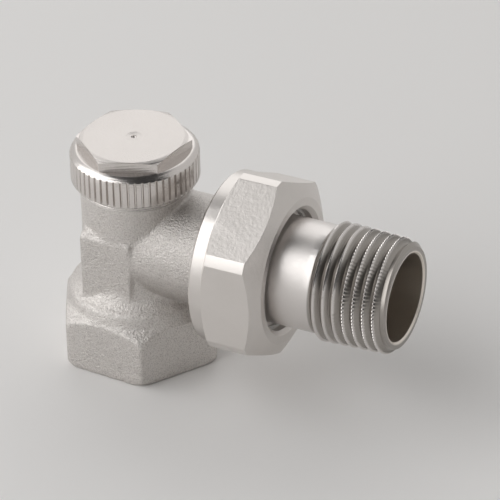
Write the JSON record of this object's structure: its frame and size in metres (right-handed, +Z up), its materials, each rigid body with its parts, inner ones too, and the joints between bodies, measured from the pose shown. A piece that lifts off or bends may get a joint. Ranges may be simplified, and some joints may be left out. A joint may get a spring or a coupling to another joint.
{
  "type": "angle lockshield radiator valve",
  "caption": "Angle-pattern lockshield radiator valve: hexagon inlet base, knurled protective cap, hidden shut-off and presetting spindle, union nut and threaded tailpiece.",
  "frame": {"origin": "centre of the inlet face at the bottom of the hexagon base, on the spindle axis", "axes": "+Z up along the spindle axis, away from the pipe; +X out along the union tail towards the radiator"},
  "size_m": [0.0654, 0.03, 0.0419],
  "materials": {
    "nickel_casting": "nickel plated, satin blasted casting",
    "nickel_cap": "nickel plated, fine satin",
    "nickel_turned": "nickel plated, turned and polished",
    "brass": "bright turned brass",
    "seal_rubber": "matt EPDM",
    "ptfe": "waxy white",
    "fibre": "matt red fibre",
    "spring_steel": "phosphated"
  },
  "bodies": {
    "body": {"valve_body": "nickel_casting", "bonnet": "brass", "bonnet_o_ring": "seal_rubber"},
    "cap_gasket": {"cap_seal": "fibre"},
    "cap": {"protection_cap": "nickel_cap"},
    "spindle_seals": {"spindle_o_ring_lower": "seal_rubber", "spindle_o_ring_upper": "seal_rubber", "spindle_backup_ring": "ptfe"},
    "spindle": {"shutoff_spindle": "brass", "seat_seal": "seal_rubber", "seal_washer": "brass", "seal_nut": "brass"},
    "preset_seal": {"preset_o_ring": "seal_rubber"},
    "preset": {"preset_screw": "brass", "throttle_cone": "brass", "cone_clip": "spring_steel"},
    "union_slip_ring": {"slip_ring": "ptfe"},
    "nut": {"union_nut": "nickel_turned"},
    "tail": {"tailpiece": "nickel_turned", "tail_o_ring": "seal_rubber"}
  },
  "joints": [
    {"name": "cap_lift", "type": "slide", "parent": "body", "child": "cap_gasket", "axis": [0, 0, 1], "range_m": [0, 0.008]},
    {"name": "cap_turn", "type": "hinge", "parent": "cap_gasket", "child": "cap", "pos_m": [0, 0, 0.0365], "axis": [0, 0, 1], "range_deg": [0, 2880]},
    {"name": "spindle_travel", "type": "slide", "parent": "body", "child": "spindle_seals", "axis": [0, 0, 1], "range_m": [-0.0036, 0]},
    {"name": "spindle_turn", "type": "hinge", "parent": "spindle_seals", "child": "spindle", "pos_m": [0, 0, 0.03], "axis": [0, 0, 1], "range_deg": [-1296, 0]},
    {"name": "preset_travel", "type": "slide", "parent": "spindle", "child": "preset_seal", "axis": [0, 0, 1], "range_m": [-0.0026, 0]},
    {"name": "preset_turn", "type": "hinge", "parent": "preset_seal", "child": "preset", "pos_m": [0, 0, 0.03], "axis": [0, 0, 1], "range_deg": [-936, 0]},
    {"name": "nut_travel", "type": "slide", "parent": "body", "child": "union_slip_ring", "axis": [1, 0, 0], "range_m": [0, 0.008]},
    {"name": "nut_turn", "type": "hinge", "parent": "union_slip_ring", "child": "nut", "pos_m": [0.0232, 0, 0.0222], "axis": [1, 0, 0], "range_deg": [0, 1587.65]},
    {"name": "tail_swivel", "type": "hinge", "parent": "body", "child": "tail", "pos_m": [0.03, 0, 0.0222], "axis": [1, 0, 0], "continuous": true}
  ],
  "couplings": [
    {"joint": "cap_lift", "follows": "cap_turn", "m_per_rad": 0.00015915},
    {"joint": "spindle_travel", "follows": "spindle_turn", "m_per_rad": 0.00015915},
    {"joint": "preset_travel", "follows": "preset_turn", "m_per_rad": 0.00015915},
    {"joint": "nut_travel", "follows": "nut_turn", "m_per_rad": 0.00028871}
  ]
}
